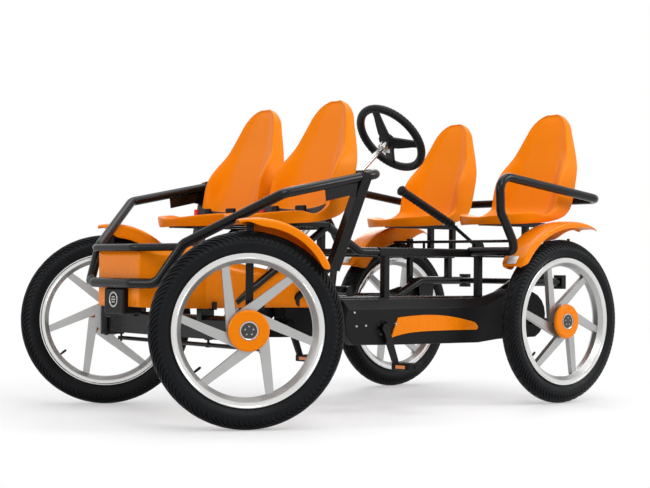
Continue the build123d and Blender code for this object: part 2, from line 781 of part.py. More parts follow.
with BuildPart() as fairing:
    loft([fairing_outline(fairing_bottom, 178, (150, 150), (-300, 202)),
          fairing_outline(fairing_top, 122, (104, 214), (-300, 206))], ruled=True)
    loft([fairing_outline(fairing_bottom, 174, (146, 146), (-310, 198)),
          fairing_outline(fairing_top, 118, (100, 210), (-310, 202))], ruled=True, mode=Mode.SUBTRACT)
    with BuildSketch(Plane.XZ):
        with BuildLine():
            Polyline((front(60), fairing_top + 1), (front(-301), 477), (front(-160), fairing_bottom - 1),
                     (front(-400), fairing_bottom - 1), (front(-400), fairing_top + 1), close=True)
        make_face()
    extrude(amount=300, both=True, mode=Mode.SUBTRACT)
save(fairing.part, "front_fairing")

with BuildPart() as nose:
    with Locations((front(165), 0, 437 - 42)):
        Box(80, 52, 84)
    add(guard.part, mode=Mode.SUBTRACT)
    add(fairing.part, mode=Mode.SUBTRACT)
    add(cross_tubes.part, mode=Mode.SUBTRACT)
    nose_solid = nose.part.solids().sort_by(lambda s: s.volume)[-1]
save(Part(nose_solid.wrapped), "nose_block")

# --- chain guards, cranks and pedals ----------------------------------------------------------------
guard_inner_y = rail_half_spacing + rail_tube_radius + part_gap
guard_outer_y = guard_inner_y + guard_width
spindle_radius = 8
pedal_pin_radius = 6
crank_thickness = 12
seat_line_y = rear_seat_half_spacing
pedal_length = 88
outer_arm_y = guard_outer_y + 6
inner_arm_y = seat_line_y - (outer_arm_y - seat_line_y) - crank_thickness

with BuildPart() as chain_guard:
    with BuildSketch(Plane.XZ.offset(-guard_inner_y)):
        with BuildLine():
            Polyline((front(-500), 349), (rear(249), 351), (rear(130), 415), (rear(-10), 415))
            ThreePointArc((rear(-10), 415), (rear(-75), 330), (rear(-20), 236))
            Line((rear(-20), 236), (rear(150), 222))
            Spline((rear(150), 222), (front(-838), 190), (front(-561), 201), tangents=[(1, -0.12), (1, 0.3)])
            ThreePointArc((front(-561), 201), (front(-490), 262), (front(-500), 349))
        make_face()
    extrude(amount=-guard_width)
    with BuildSketch(Plane.XZ.offset(-guard_inner_y)):
        with Locations((front(crank_x), crank_height)):
            Circle(spindle_radius + 14)
        with Locations((rear_axle_x, axle_height)):
            Circle(wheel_axle_radius + 6)
    extrude(amount=-guard_width, mode=Mode.SUBTRACT)
save(both_sides(chain_guard.part), "chain_guards")

with BuildPart() as trim:
    with BuildSketch(Plane.XZ.offset(-guard_outer_y)):
        with BuildLine():
            Polyline((front(-690), 251), (front(-722), 320))
            Spline((front(-722), 320), (front(-926), 325), (front(-1075), 303), (front(-1110), 287),
                   tangents=[(-1, 0.1), (-0.6, -1)])
            ThreePointArc((front(-1110), 287), (front(-1114), 278), (front(-1106), 270))
            Spline((front(-1106), 270), (front(-900), 271), (front(-690), 251), tangents=[(1, 0.02), (1, -0.3)])
        make_face()
    extrude(amount=-4)
save(both_sides(trim.part), "chain_guard_trims")

with BuildPart() as bracket:
    with BuildSketch(Plane.XZ.offset(-guard_inner_y + 0.5)):
        with Locations((front(crank_x), crank_height)):
            Circle(20)
    extrude(amount=48)
    with BuildSketch(Plane.XZ.offset(-rail_half_spacing - 4)):
        with BuildLine():
            Polyline((front(crank_x) - 19, crank_height), (front(crank_x) - 34, rail_height),
                     (front(crank_x) + 34, rail_height), (front(crank_x) + 19, crank_height), close=True)
        make_face()
    extrude(amount=8)
    with BuildSketch(Plane.XZ):
        with Locations((front(crank_x), crank_height)):
            Circle(spindle_radius + running_clearance)
    extrude(amount=-400, mode=Mode.SUBTRACT)
    add(rail.part, mode=Mode.SUBTRACT)
    bracket_solid = bracket.part.solids().sort_by(lambda s: s.volume)[-1]
save(both_sides(bracket_solid), "bottom_brackets")

arm_unit = Vector(cos(radians(crank_angle)), 0, sin(radians(crank_angle)))
crank_centre = Vector(front(crank_x), 0, crank_height)


def crank(phase):
    """Spindle, two opposite arms and pedal pins of the left crankset."""
    unit = arm_unit * phase
    with BuildPart() as cranks:
        with BuildSketch(Plane.XZ.offset(-inner_arm_y)):
            with Locations((crank_centre.X, crank_centre.Z)):
                Circle(spindle_radius)
        extrude(amount=-(outer_arm_y + crank_thickness - inner_arm_y))
        for arm_y, sense in ((outer_arm_y, 1), (inner_arm_y, -1)):
            tip = crank_centre + unit * crank_length * sense
            plane = Plane(origin=(crank_centre.X, arm_y, crank_centre.Z), x_dir=unit * sense, z_dir=(0, 1, 0))
            with BuildSketch(plane):
                with BuildLine():
                    Polyline((0, -14), (crank_length, -10), (crank_length, 10), (0, 14), close=True)
                make_face()
                Circle(16)
                with Locations((crank_length, 0)):
                    Circle(11)
            extrude(amount=crank_thickness)
            start = arm_y + crank_thickness / 2
            with BuildSketch(Plane.XZ.offset(-start)):
                with Locations((tip.X, tip.Z)):
                    Circle(pedal_pin_radius)
            extrude(amount=-sense * (pedal_length + crank_thickness / 2 + 6))
    return cranks.part


def pedal(phase, sense):
    """Pedal of the left crankset on the outer (sense 1) or inner (sense -1) arm."""
    tip = crank_centre + arm_unit * phase * crank_length * sense
    near = outer_arm_y + crank_thickness + 3 if sense > 0 else inner_arm_y - 3 - pedal_length
    with BuildPart() as block:
        with BuildSketch(Plane.XZ.offset(-near)):
            with Locations((tip.X, tip.Z)):
                RectangleRounded(62, 24, 5)
                Circle(pedal_pin_radius + running_clearance, mode=Mode.SUBTRACT)
        extrude(amount=-pedal_length)
    return block.part


save(crank(1), "crankset_left")
save(mirrored(crank(-1)), "crankset_right")
save(pedal(1, 1), "pedal_left_outer")
save(pedal(1, -1), "pedal_left_inner")
save(mirrored(pedal(-1, 1)), "pedal_right_outer")
save(mirrored(pedal(-1, -1)), "pedal_right_inner")

# --- rear axle hangers ------------------------------------------------------------------------------
with BuildPart() as hanger:
    with BuildSketch(Plane.XZ.offset(-rail_half_spacing + 20)):
        with Locations((rear_axle_x, axle_height)):
            Circle(28)
    extrude(amount=-34)
    with BuildSketch(Plane.XZ.offset(-rail_half_spacing + 4)):
        with BuildLine():
            Polyline((rear(-26), axle_height), (rear(-45), rear_rail_height), (rear(45), rear_rail_height),
                     (rear(26), axle_height), close=True)
        make_face()
    extrude(amount=-8)
    with BuildSketch(Plane.XZ):
        with Locations((rear_axle_x, axle_height)):
            Circle(wheel_axle_radius + running_clearance)
    extrude(amount=-400, mode=Mode.SUBTRACT)
    add(rail.part, mode=Mode.SUBTRACT)
    hanger_solid = hanger.part.solids().sort_by(lambda s: s.volume)[-1]
save(both_sides(hanger_solid), "rear_axle_hangers")

# --- rear fenders -----------------------------------------------------------------------------------
rear_fender_radius = 334
rear_fender_centre = (rear(-10), 318)

with BuildPart() as rear_fender:
    with BuildSketch(Plane(origin=(rear_fender_centre[0], 0, rear_fender_centre[1]), x_dir=(0, 1, 0),
                           z_dir=(1, 0, 0))):
        fender_section(rear_half_track, rear_fender_radius)
    revolve(axis=Axis((rear_fender_centre[0], 0, rear_fender_centre[1]), (0, 1, 0)), revolution_arc=96)
rear_fender_turned = rear_fender.part.rotate(
    Axis((rear_fender_centre[0], 0, rear_fender_centre[1]), (0, 1, 0)), -42)
save(both_sides(rear_fender_turned), "rear_fenders")

fender_lip = rear_half_track - fender_width / 2 - 6
with BuildPart() as stays:
    for angle in (50, 122):
        radius = rear_fender_radius - 12
        lip_x = rear_fender_centre[0] + radius * cos(radians(angle))
        lip_z = rear_fender_centre[1] + radius * sin(radians(angle))
        tube([(lip_x, rail_half_spacing, beam_height), (lip_x, fender_lip, beam_height),
              (lip_x, fender_lip, lip_z)], 6, 14)
    add(upper_rail.part, mode=Mode.SUBTRACT)
    stay_solids = [s for s in stays.part.solids() if s.volume > 8000]
with BuildPart() as fender_stays:
    add(stay_solids)
    mirror(about=Plane.XZ)
save(fender_stays.part, "rear_fender_stays")

# --- hand brake -------------------------------------------------------------------------------------
with BuildPart() as hand_brake:
    pivot = (front(-1444), 0, 574)
    throat = (front(-1301), 0, 659)
    end = (front(-1028), 0, 783)
    tube([pivot, throat, end], 7, 30)
    with BuildSketch(Plane(origin=throat, z_dir=Vector(*end) - Vector(*throat))):
        Circle(15)
    extrude(amount=(Vector(*end) - Vector(*throat)).length)
    with BuildSketch(Plane.XZ.offset(-9)):
        with Locations((pivot[0], pivot[2])):
            Circle(26)
    extrude(amount=18)
    add(cross_tubes.part, mode=Mode.SUBTRACT)
save(hand_brake.part, "hand_brake")
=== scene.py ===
"""Looks of the four-seat pedal go-kart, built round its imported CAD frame.

Blender's objects, the lamps and the camera are in metres.  Shapes are drawn in millimetres, in the
frame's axes: +X forward, +Y to the kart's left, +Z up from the ground.
"""

import json
from math import cos, pi, radians, sin, sqrt, tan

import bmesh
import bpy
from mathutils import Matrix, Vector


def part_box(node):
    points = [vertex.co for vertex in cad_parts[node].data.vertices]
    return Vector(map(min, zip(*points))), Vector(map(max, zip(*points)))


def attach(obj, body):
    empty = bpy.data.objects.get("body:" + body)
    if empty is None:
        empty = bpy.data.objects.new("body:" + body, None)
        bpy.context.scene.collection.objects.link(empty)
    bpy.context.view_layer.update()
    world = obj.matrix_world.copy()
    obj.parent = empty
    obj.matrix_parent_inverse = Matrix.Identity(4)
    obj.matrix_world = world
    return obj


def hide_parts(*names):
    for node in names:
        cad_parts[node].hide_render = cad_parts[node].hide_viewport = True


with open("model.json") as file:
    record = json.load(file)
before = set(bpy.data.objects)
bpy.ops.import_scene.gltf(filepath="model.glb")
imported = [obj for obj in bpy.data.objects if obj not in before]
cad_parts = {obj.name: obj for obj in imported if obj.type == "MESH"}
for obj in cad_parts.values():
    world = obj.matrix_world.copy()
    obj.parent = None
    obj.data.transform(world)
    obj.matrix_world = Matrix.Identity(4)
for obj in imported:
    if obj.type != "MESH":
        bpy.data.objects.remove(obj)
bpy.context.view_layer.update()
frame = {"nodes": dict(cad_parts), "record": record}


# --- blender objects and nodes --------------------------------------------------------------------
def add_object(name, data):
    """New object, linked to the scene."""
    made = bpy.data.objects.new(name, data)
    bpy.context.collection.objects.link(made)
    return made


def add_node(tree, kind, *sources, settings=None, **inputs):
    """New node: its settings, sources linked to its first inputs, then inputs by name."""
    made = tree.nodes.new(kind)
    for name, value in (settings or {}).items():
        setattr(made, name, value)
    for socket, source in zip(made.inputs, sources):
        tree.links.new(source, socket)
    for name, value in inputs.items():
        socket = made.inputs[name.replace("_", " ")]
        if isinstance(value, bpy.types.NodeSocket):
            tree.links.new(value, socket)
        else:
            socket.default_value = value
    return made


# --- camera ---------------------------------------------------------------------------------------
FLOOR_REACH = 30


def make_camera():
    """Low three-quarter view from the kart's front left."""
    data = bpy.data.cameras.new("camera")
    camera = add_object("camera", data)
    data.sensor_width = 36
    data.lens = 78.0
    data.clip_end = 2 * FLOOR_REACH
    place = Vector((3.2694, 3.8953, 0.4964))
    forward = Vector((-0.63847, -0.76949, 0.01551))
    turn = forward.to_track_quat("-Z", "Y")
    roll = Matrix.Rotation(radians(0.47), 4, "Z")
    camera.matrix_world = Matrix.Translation(place) @ turn.to_matrix().to_4x4() @ roll
    bpy.context.scene.camera = camera


# --- studio ---------------------------------------------------------------------------------------
WHITE = (1, 1, 1, 1)
LAMPS = (  # name, place, target, width and depth, power in watts
    ("key", (1.2, 3.6, 3.4), (0, 0, 0.4), (1.8, 1.8), 66),
    ("side", (-2.8, 3.4, 2.6), (0, 0, 0.6), (1.6, 1.6), 70),
    ("top", (-0.2, 0.0, 3.8), (0, 0, 0.5), (4.0, 3.0), 84),
    ("front", (4.4, -0.4, 2.0), (0, 0, 0.5), (1.8, 1.8), 52),
    ("back", (-3.2, -3.2, 2.6), (0, 0, 0.5), (2.5, 2.0), 40),
)


def area_light(name, place, target, size, power):
    data = bpy.data.lights.new(name, "AREA")
    data.shape = "RECTANGLE"
    data.size, data.size_y = size
    data.energy = power
    lamp = add_object(name, data)
    lamp.location = place
    lamp.rotation_euler = (Vector(target) - Vector(place)).to_track_quat("-Z", "Y").to_euler()


def seen_ray(tree):
    """1 for rays that show the backdrop: straight to the camera, mirrored or through glass."""
    path = tree.nodes.new("ShaderNodeLightPath")
    either = path.outputs["Is Camera Ray"]
    for name in ("Is Glossy Ray", "Is Transmission Ray"):
        wider = add_node(tree, "ShaderNodeMath", either, path.outputs[name],
                         settings={"operation": "MAXIMUM"})
        either = wider.outputs[0]
    return either


def make_world():
    """White where it is seen, dim and slightly cool where it lights the kart."""
    world = bpy.data.worlds.new("studio")
    bpy.context.scene.world = world
    world.use_nodes = True
    tree = world.node_tree
    tree.nodes.clear()
    dim = add_node(tree, "ShaderNodeBackground", Color=(0.92, 0.95, 1.0, 1), Strength=0.34)
    plain = add_node(tree, "ShaderNodeBackground", Color=WHITE)
    mix = add_node(tree, "ShaderNodeMixShader", seen_ray(tree), dim.outputs[0], plain.outputs[0])
    add_node(tree, "ShaderNodeOutputWorld", mix.outputs[0])


def floor_material():
    """Pale floor that keeps the kart's shadow and fades to the white backdrop round it."""
    material = bpy.data.materials.new("floor")
    material.use_nodes = True
    tree = material.node_tree
    shader = tree.nodes["Principled BSDF"]
    shader.inputs["Base Color"].default_value = (0.9, 0.9, 0.9, 1)
    shader.inputs["Roughness"].default_value = 0.6
    place = add_node(tree, "ShaderNodeTexCoord")
    reach = add_node(tree, "ShaderNodeVectorMath", place.outputs["Object"],
                     settings={"operation": "LENGTH"})
    fade = add_node(tree, "ShaderNodeMapRange", settings={"interpolation_type": "SMOOTHSTEP"},
                    Value=reach.outputs["Value"], From_Min=1.0, From_Max=1.9, To_Min=0.3)
    both = add_node(tree, "ShaderNodeMath", fade.outputs["Result"], seen_ray(tree),
                    settings={"operation": "MULTIPLY"})
    white = add_node(tree, "ShaderNodeEmission", Color=WHITE)
    mix = add_node(tree, "ShaderNodeMixShader", both.outputs[0], shader.outputs[0],
                   white.outputs[0])
    tree.links.new(mix.outputs[0], tree.nodes["Material Output"].inputs["Surface"])
    return material


def make_studio():
    bpy.context.scene.view_settings.view_transform = "Standard"
    make_world()
    for lamp in LAMPS:
        area_light(*lamp)
    data = bpy.data.meshes.new("floor")
    quarters = ((-1, -1), (1, -1), (1, 1), (-1, 1))
    data.from_pydata([(x * FLOOR_REACH, y * FLOOR_REACH, 0) for x, y in quarters], [],
                     [(0, 1, 2, 3)])
    floor = add_object("floor", data)
    data.materials.append(floor_material())


# --- materials ------------------------------------------------------------------------------------
NOISE_LOW, NOISE_HIGH = 0.3, 0.7  # the range that most of a noise's values lie in


def surface(name, colour, rough, bump=None, **plain):
    """Material whose colour, roughness and fine bump follow noise in object coordinates.

    colour is a noise scale and two shades, rough a noise scale and two roughnesses, and bump a
    noise scale, its detail, a height in metres and a strength.  plain is set on the shader itself.
    """
    material = bpy.data.materials.new(name)
    material.use_nodes = True
    tree = material.node_tree
    shader = tree.nodes["Principled BSDF"]
    place = add_node(tree, "ShaderNodeTexCoord").outputs["Object"]
    for socket, value in plain.items():
        shader.inputs[socket.replace("_", " ")].default_value = value

    def noise(scale, detail=4.0):
        made = add_node(tree, "ShaderNodeTexNoise", Vector=place, Scale=scale, Detail=detail,
                        Roughness=0.55)
        return made.outputs["Fac"]

    scale, first, second = colour
    shades = add_node(tree, "ShaderNodeMix", settings={"data_type": "RGBA"}, Factor=noise(scale),
                      A=(*first, 1), B=(*second, 1))
    tree.links.new(shades.outputs["Result"], shader.inputs["Base Color"])
    scale, low, high = rough
    spread = add_node(tree, "ShaderNodeMapRange", Value=noise(scale), From_Min=NOISE_LOW,
                      From_Max=NOISE_HIGH, To_Min=low, To_Max=high)
    tree.links.new(spread.outputs["Result"], shader.inputs["Roughness"])
    if bump:
        scale, detail, height, strength = bump
        grain = add_node(tree, "ShaderNodeBump", Height=noise(scale, detail), Strength=strength,
                         Distance=height)
        tree.links.new(grain.outputs["Normal"], shader.inputs["Normal"])
    return material


def make_materials():
    """The record's material slots, then the looks that only single pieces have."""
    orange = ((0.82, 0.195, 0.0015), (0.86, 0.215, 0.002))
    warm = (1.0, 0.5, 0.05, 1)
    return {
        "orange_plastic": surface(
            "seat_plastic", (6.0, *orange), (35.0, 0.30, 0.40), (900.0, 2.0, 0.00015, 0.5),
            Specular_IOR_Level=0.3, Specular_Tint=warm),
        "orange_paint": surface(
            "gloss_orange", (4.0, *orange), (60.0, 0.22, 0.3), (260.0, 2.0, 0.00003, 0.3),
            Specular_IOR_Level=0.4, Specular_Tint=warm, Coat_Weight=0.06, Coat_Roughness=0.1),
        "black_frame": surface(
            "black_powder_coat", (12.0, (0.002, 0.002, 0.0022), (0.005, 0.005, 0.0055)),
            (90.0, 0.22, 0.3), (520.0, 3.0, 0.00008, 0.4),
            Specular_IOR_Level=0.2, Coat_Weight=0.06, Coat_Roughness=0.1),
        "black_plastic": surface(
            "black_plastic", (10.0, (0.003, 0.003, 0.0033), (0.007, 0.007, 0.0075)),
            (70.0, 0.38, 0.5), (800.0, 2.0, 0.0002, 0.7), Specular_IOR_Level=0.15),
        "tyre": surface(
            "tyre_rubber", (20.0, (0.003, 0.003, 0.004), (0.008, 0.009, 0.010)),
            (60.0, 0.36, 0.5), (600.0, 3.0, 0.0003, 0.6), Specular_IOR_Level=0.12),
        "cast_alloy": surface(
            "cast_alloy", (14.0, (0.40, 0.40, 0.395), (0.48, 0.48, 0.475)),
            (120.0, 0.28, 0.4), (700.0, 2.0, 0.0001, 0.5), Metallic=0.9),
        "bright_steel": surface(
            "zinc_steel", (30.0, (0.42, 0.42, 0.41), (0.55, 0.55, 0.54)), (160.0, 0.16, 0.3),
            Metallic=1.0),
        "webbing": surface(
            "webbing", (90.0, (0.008, 0.008, 0.009), (0.02, 0.02, 0.022)), (200.0, 0.7, 0.9)),
        "emblem": surface(
            "emblem", (60.0, (0.006, 0.006, 0.007), (0.014, 0.014, 0.016)), (200.0, 0.2, 0.3),
            Coat_Weight=0.5, Coat_Roughness=0.06),
        "polished": surface(
            "polished_alloy", (20.0, (0.66, 0.66, 0.65), (0.76, 0.76, 0.75)), (150.0, 0.14, 0.24),
            Metallic=1.0),
        "red_plastic": surface(
            "red_plastic", (40.0, (0.62, 0.01, 0.01), (0.70, 0.02, 0.015)), (90.0, 0.3, 0.42)),
        "amber": surface(
            "amber_reflector", (300.0, (0.75, 0.16, 0.0), (0.9, 0.26, 0.01)), (120.0, 0.12, 0.25),
            Coat_Weight=0.8, Coat_Roughness=0.05),
        "reflector": surface(
            "white_reflector", (220.0, (0.68, 0.68, 0.66), (0.8, 0.8, 0.78)), (120.0, 0.15, 0.3),
            Coat_Weight=0.6, Coat_Roughness=0.08),
    }


# --- modelling in millimetres ---------------------------------------------------------------------
MM = 0.001
UP = Vector((0, 0, 1))
SIDES = (1, -1)
SIDE_NAMES = {1: "left", -1: "right"}

joints = {joint["name"]: joint for joint in frame["record"]["behaviour"]["joints"]}
front_x = joints["steer_left"]["pos_m"][0] / MM
rear_x, rear_y, axle_z = (value / MM for value in joints["spin_rear_left"]["pos_m"])


def front(x, y, z):
    """Point given ahead of the front axle."""
    return Vector((front_x + x, y, z))


def rear(x, y, z):
    """Point given ahead of the rear axle."""
    return Vector((rear_x + x, y, z))


def mirrored(point):
    return Vector((point.x, -point.y, point.z))


def smoothstep(low, high, value):
    t = min(1.0, max(0.0, (value - low) / (high - low)))
    return t * t * (3 - 2 * t)


def rounded(points, radius):
    """Path through the points, each corner turned at a bend radius or as its runs leave room."""
    steps = 8
    room = 0.48
    path = [points[0]]
    for before, corner, after in zip(points, points[1:], points[2:]):
        back = (before - corner).normalized()
        ahead = (after - corner).normalized()
        half = back.angle(ahead) / 2
        shorter = min((before - corner).length, (after - corner).length)
        reach = min(radius / tan(half), room * shorter)
        bend = reach * tan(half)
        centre = corner + (back + ahead).normalized() * (bend / sin(half))
        start = (corner + back * reach - centre).normalized()
        end = (corner + ahead * reach - centre).normalized()
        path += [centre + start.slerp(end, i / steps) * bend for i in range(steps + 1)]
    return path + [points[-1]]


def smooth_path(points, steps):
    """Catmull-Rom curve through the points."""
    path = []
    last = len(points) - 1
    for i in range(last):
        a, b, c, d = points[max(i - 1, 0)], points[i], points[i + 1], points[min(i + 2, last)]
        for k in range(steps):
            t = k / steps
            path.append(0.5 * (2 * b + (c - a) * t + (2 * a - 5 * b + 4 * c - d) * t**2
                               + (3 * b - a - 3 * c + d) * t**3))
    return path + [points[-1]]


def arc(start, through, end):
    """Points of a circle's arc in an upright plane, without its ends."""
    steps = 8
    a, b, c = (Vector((p.x, p.z)) for p in (start, through, end))
    aa, bb, cc = (p.length_squared for p in (a, b, c))
    d = 2 * (a.x * (b.y - c.y) + b.x * (c.y - a.y) + c.x * (a.y - b.y))
    centre = Vector(((aa * (b.y - c.y) + bb * (c.y - a.y) + cc * (a.y - b.y)) / d,
                     (aa * (c.x - b.x) + bb * (a.x - c.x) + cc * (b.x - a.x)) / d))
    first, mid, last = (p - centre for p in (a, b, c))
    sweep = first.angle_signed(mid) + mid.angle_signed(last)
    made = []
    for i in range(1, steps):
        turned = first.copy()
        turned.rotate(Matrix.Rotation(-sweep * i / steps, 2))
        made.append(Vector((centre.x + turned.x, start.y, centre.y + turned.y)))
    return made


def circle(middle, first, second, radius, sides):
    """Points round a middle, from the first direction towards the second."""
    return [middle + (first * cos(2 * pi * k / sides) + second * sin(2 * pi * k / sides)) * radius
            for k in range(sides)]


def turned_rows(origin, axis, profile, sides):
    """Circles of a turned form, from a profile of (radius, distance along the axis)."""
    on_axis = 0.01  # stands for a radius of 0
    axis = Vector(axis).normalized()
    first = axis.orthogonal().normalized()
    second = axis.cross(first)
    return [circle(Vector(origin) + axis * along, first, second, max(radius, on_axis), sides)
            for radius, along in profile]


def add_bevel(piece, width):
    """Rounds the piece's edges, apart from the slight ones of a curved face."""
    edge = piece.modifiers.new("bevel", "BEVEL")
    edge.width = width * MM
    edge.segments = 2
    edge.limit_method = "ANGLE"
    edge.angle_limit = radians(28)
    edge.harden_normals = True


class Shape:
    """A mesh in the making, in millimetres."""

    def __init__(self):
        self.mesh = bmesh.new()

    def grid(self, rows, around=False, along=False):
        """Quads through rows of points, closed around each row or from the last to the first."""
        made = [[self.mesh.verts.new(point) for point in row] for row in rows]
        pairs = list(zip(made, made[1:])) + ([(made[-1], made[0])] if along else [])
        for a, b in pairs:
            self.join(a, b, len(a) if around else len(a) - 1)
        return made

    def join(self, a, b, count):
        """Quads between two rows of vertices."""
        for i in range(count):
            j = (i + 1) % len(a)
            self.mesh.faces.new((a[i], a[j], b[j], b[i]))

    def loft(self, rows):
        """Closed outlines joined in order, capped at both ends."""
        made = self.grid(rows, around=True)
        self.mesh.faces.new(made[0])
        self.mesh.faces.new(reversed(made[-1]))

    def slab(self, outline, depth):
        """An outline drawn out by a vector."""
        self.loft([outline, [point + depth for point in outline]])

    def block(self, middle, size):
        x, y, z = (value / 2 for value in size)
        corners = [Vector((-x, -y, -z)), Vector((x, -y, -z)), Vector((x, y, -z)),
                   Vector((-x, y, -z))]
        self.slab([Vector(middle) + corner for corner in corners], Vector((0, 0, 2 * z)))

    def tube(self, points, radius, bend=0, sides=20, capped=True):
        """Round tube through the points; capped is True, False, or the one end to close."""
        path = rounded(points, bend) if bend else points
        normal = Vector((0.12, 0.31, 0.94))  # no tube starts in this direction
        rows = []
        for i, point in enumerate(path):
            run = (path[min(i + 1, len(path) - 1)] - path[max(i - 1, 0)]).normalized()
            normal = (normal - run * normal.dot(run)).normalized()
            rows.append(circle(point, normal, run.cross(normal), radius, sides))
        made = self.grid(rows, around=True)
        if capped in (True, "start"):
            self.mesh.faces.new(reversed(made[0]))
        if capped in (True, "end"):
            self.mesh.faces.new(made[-1])

    def lathe(self, origin, axis, profile, sides):
        """Solid turned form, from one end of its profile to the other."""
        self.loft(turned_rows(origin, axis, profile, sides))

    def ring(self, origin, axis, profile, sides):
        """Turned ring, whose profile is a closed outline."""
        self.grid(turned_rows(origin, axis, profile, sides), around=True, along=True)

    def mirror(self):
        """Adds the other side of the kart."""
        mesh = self.mesh
        geometry = mesh.verts[:] + mesh.edges[:] + mesh.faces[:]
        bmesh.ops.mirror(mesh, geom=geometry, axis="Y", merge_dist=0.02)

    def in_metres(self, name):
        """Finished mesh data with its faces outwards; the shape is used up."""
        bmesh.ops.recalc_face_normals(self.mesh, faces=self.mesh.faces[:])
        for vertex in self.mesh.verts:
            vertex.co = vertex.co * MM
        data = bpy.data.meshes.new(name)
        self.mesh.to_mesh(data)
        self.mesh.free()
        return data

    def finish(self, name, body, slot, replaces=(), sharp=32, bevel=0, thickness=0, subdivide=0,
               look=None):
        """Makes the piece: sharp in degrees, look a material other than its slot's."""
        data = self.in_metres(name)
        for face in data.polygons:
            face.use_smooth = True
        if not subdivide:
            data.set_sharp_from_angle(angle=radians(sharp))
        made = add_object(name, data)
        data.materials.append(materials[look or slot])
        if bevel:
            add_bevel(made, bevel)
        if thickness:
            wall = made.modifiers.new("wall", "SOLIDIFY")
            wall.thickness = thickness * MM
            wall.offset = -1
        if subdivide:
            smooth = made.modifiers.new("smooth", "SUBSURF")
            smooth.levels = smooth.render_levels = subdivide
        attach(made, body)
        if replaces:
            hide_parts(*replaces)
        return made


def cut_away(piece, shape):
    """Takes a shape out of a piece's own mesh."""
    data = shape.in_metres("cutter")
    cutter = add_object("cutter", data)
    cut = piece.modifiers.new("cut", "BOOLEAN")
    cut.operation = "DIFFERENCE"
    cut.solver = "EXACT"
    cut.object = cutter
    bpy.context.view_layer.update()
    view = bpy.context.evaluated_depsgraph_get()
    holed = bpy.data.meshes.new_from_object(piece.evaluated_get(view))
    piece.modifiers.remove(cut)
    piece.data = holed
    bpy.data.objects.remove(cutter)
    bpy.data.meshes.remove(data)


# --- wheels ---------------------------------------------------------------------------------------
class Wheel:
    """Place and directions of one wheel, as it stands at rest."""

    def __init__(self, corner):
        joint = joints["spin_" + corner]
        axis = Vector(joint["axis"])
        self.corner = corner
        self.side = 1 if corner.endswith("left") else -1
        self.body = "wheel_" + corner
        self.centre = Vector(joint["pos_m"]) / MM
        self.outward = axis * self.side
        self.forward = Vector((axis.y, -axis.x, 0))

    def point(self, angle, radius, across):
        """Point at an angle up from straight ahead, moved across the wheel to its outside."""
        spoke = (self.forward * cos(angle) + UP * sin(angle)) * radius
        return self.centre + spoke + self.outward * across

    def cap_recess(self):
        """Middle of the flat recess in the hub cap."""
        low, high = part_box("hub_cap_" + self.corner)
        middle = (Vector(low) + Vector(high)) / 2 / MM
        depth = 5.5 if self.corner.startswith("front") else 4  # outwards from the cap's middle
        distance = (middle - self.centre).dot(self.outward) + depth
        return self.centre + self.outward * distance


def tyre_section(turn):
    """Distance across and radius at a turn round the tyre's section, from its crown."""
    half_width, half_height, middle_radius = 32.6, 36.9, 263
    return half_width * sin(turn), middle_radius + half_height * cos(turn)


def make_tyre(wheel):
    """Tyre with skewed tread grooves; every second one starts further from the crown."""
    grooves = 104
    steps, groove_steps = 6, 3  # for a groove and the block behind it, and for the groove alone
    groove_depth = 4.4
    shoulder_skew = 0.16  # radians
    line_height = 0.7  # of a raised line round each sidewall
    bead_radius, bead_across = 226, 20
    turns = [radians(a) for a in (-138, -126, -114, -104, -97, -91, -84, -76, -68, -64, -60, -50,
                                  -40, -30, -20, -12, -8, -4)]
    turns = turns + [0.0] + [-a for a in reversed(turns)]
    rows = []
    for i in range(grooves * steps):
        groove, step = divmod(i, steps)
        around = 2 * pi * i / (grooves * steps)
        row = []
        for turn in turns:
            across, radius = tyre_section(turn)
            reach = abs(turn)
            inner = radians(22) if groove % 2 else radians(5)
            cut = smoothstep(inner, inner + radians(5), reach)
            cut *= 1 - smoothstep(radians(77), radians(84), reach)
            depth = groove_depth * cut if step < groove_steps else 0
            if radians(92) < reach < radians(100):
                depth = -line_height
            angle = around + shoulder_skew * smoothstep(0, radians(75), reach)
            row.append(wheel.point(angle, radius - depth * cos(turn), across - depth * sin(turn)))
        inside, outside = (wheel.point(around + shoulder_skew, bead_radius, s * bead_across)
                           for s in (-1, 1))
        rows.append([inside] + row + [outside])
    tyre = Shape()
    tyre.grid(rows, around=True, along=True)
    tyre.finish("tyre_tread_" + wheel.corner, wheel.body, "tyre", ["tyre_" + wheel.corner],
                sharp=50)


